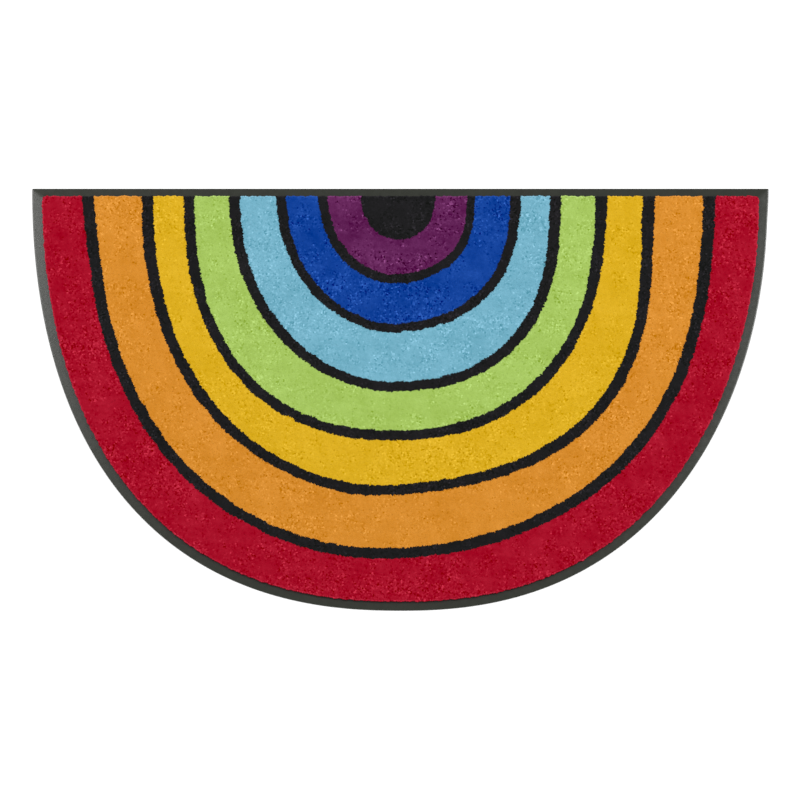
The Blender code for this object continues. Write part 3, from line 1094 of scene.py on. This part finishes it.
class RUG_OT_stage(bpy.types.Operator):
    """Make the floor, the studio light and the camera"""

    bl_idname = "rug.stage"
    bl_label = "Stage"

    def execute(self, context):
        settings = context.scene.rug_stage
        deselect_all()
        bpy.ops.mesh.primitive_plane_add(size=FLOOR_WIDTH)
        floor = context.active_object
        floor.name = "studio_floor"
        floor.data.materials.append(self.floor_material(settings))
        self.add_softbox("left_softbox", LEFT_SOFTBOX, settings.left_power)
        self.add_softbox("right_softbox", RIGHT_SOFTBOX, settings.right_power)
        world = bpy.data.worlds.new("studio_room")
        world.use_nodes = True
        backdrop = world.node_tree.nodes["Background"]
        backdrop.inputs["Color"].default_value = (1.0, 1.0, 1.0, 1.0)
        backdrop.inputs["Strength"].default_value = settings.sky_strength
        context.scene.world = world
        context.scene.view_settings.view_transform = "Standard"
        self.add_camera(context)
        return {"FINISHED"}

    def floor_material(self, settings):
        """Plain pale floor with a trace of unevenness."""
        material = bpy.data.materials.new("studio_floor")
        material.use_nodes = True
        tree = material.node_tree
        place = tree.nodes.new("ShaderNodeTexCoord").outputs["Object"]
        cloud = add_noise(tree, place, FLOOR_CLOUD_WIDTH)
        rough = add_range(tree, cloud, NOISE_RANGE, FLOOR_ROUGHNESS)
        colour = (*settings.floor_colour, 1.0)
        feed(tree, tree.nodes["Principled BSDF"], {"Base Color": colour, "Roughness": rough})
        return material

    def add_softbox(self, name, place, power):
        """A square area light that faces the mat and isn't seen itself."""
        light = bpy.data.lights.new(name, "AREA")
        light.shape = "RECTANGLE"
        light.size = light.size_y = SOFTBOX_WIDTH
        light.energy = power
        softbox = bpy.data.objects.new(name, light)
        softbox.location = place
        softbox.rotation_euler = (-Vector(place)).to_track_quat("-Z", "Y").to_euler()
        softbox.visible_camera = False
        bpy.context.collection.objects.link(softbox)

    def add_camera(self, context):
        """The camera of the photograph: high in front of the curved edge, with a long lens."""
        data = bpy.data.cameras.new("photo_camera")
        data.sensor_width = SENSOR_WIDTH
        data.lens = SENSOR_WIDTH * CAMERA_DISTANCE / (PHOTO_SCALE * PHOTO_PIXELS)
        data.clip_end = CAMERA_REACH
        camera = bpy.data.objects.new("photo_camera", data)
        off_x = (PHOTO_PIXELS / 2 - MAT_MIDDLE_PIXEL[0]) * PHOTO_SCALE
        off_y = (MAT_MIDDLE_PIXEL[1] - PHOTO_PIXELS / 2) * PHOTO_SCALE
        off_y /= math.sin(CAMERA_ELEVATION)
        aim = Vector((off_x, off_y, 0.0))
        back = Vector((0.0, -math.cos(CAMERA_ELEVATION), math.sin(CAMERA_ELEVATION)))
        camera.location = aim + back * CAMERA_DISTANCE
        camera.rotation_euler = (-back).to_track_quat("-Z", "Y").to_euler()
        context.collection.objects.link(camera)
        context.scene.camera = camera


class RUG_PT_maker(bpy.types.Panel):
    """Lists the mat's pieces"""

    bl_idname = "RUG_PT_maker"
    bl_label = "Washable Mat"
    bl_space_type = "VIEW_3D"
    bl_region_type = "UI"
    bl_category = "Washable Mat"

    def draw(self, context):
        layout = self.layout
        for operator, settings in STEPS:
            box = layout.box()
            box.operator(operator.bl_idname)
            for name in settings.__annotations__ if settings else ():
                box.prop(getattr(context.scene, SETTINGS[settings]), name)


SETTINGS = {
    RubberSettings: "rug_rubber",
    PileSettings: "rug_pile",
    StageSettings: "rug_stage",
}
STEPS = (
    (RUG_OT_rubber_sheet, RubberSettings),
    (RUG_OT_pile_body, None),
    (RUG_OT_tufts, PileSettings),
    (RUG_OT_stage, StageSettings),
)


def register():
    """Make the settings, operators and panel known to Blender."""
    for settings, name in SETTINGS.items():
        bpy.utils.register_class(settings)
        setattr(bpy.types.Scene, name, bpy.props.PointerProperty(type=settings))
    for operator, _ in STEPS:
        bpy.utils.register_class(operator)
    bpy.utils.register_class(RUG_PT_maker)


def unregister():
    """Take them away again."""
    bpy.utils.unregister_class(RUG_PT_maker)
    for operator, _ in reversed(STEPS):
        bpy.utils.unregister_class(operator)
    for settings, name in SETTINGS.items():
        delattr(bpy.types.Scene, name)
        bpy.utils.unregister_class(settings)


def main():
    """Make every piece in order."""
    register()
    bpy.ops.rug.rubber_sheet()
    bpy.ops.rug.pile_body()
    bpy.ops.rug.tufts()
    bpy.ops.rug.stage()


if __name__ == "__main__":
    main()
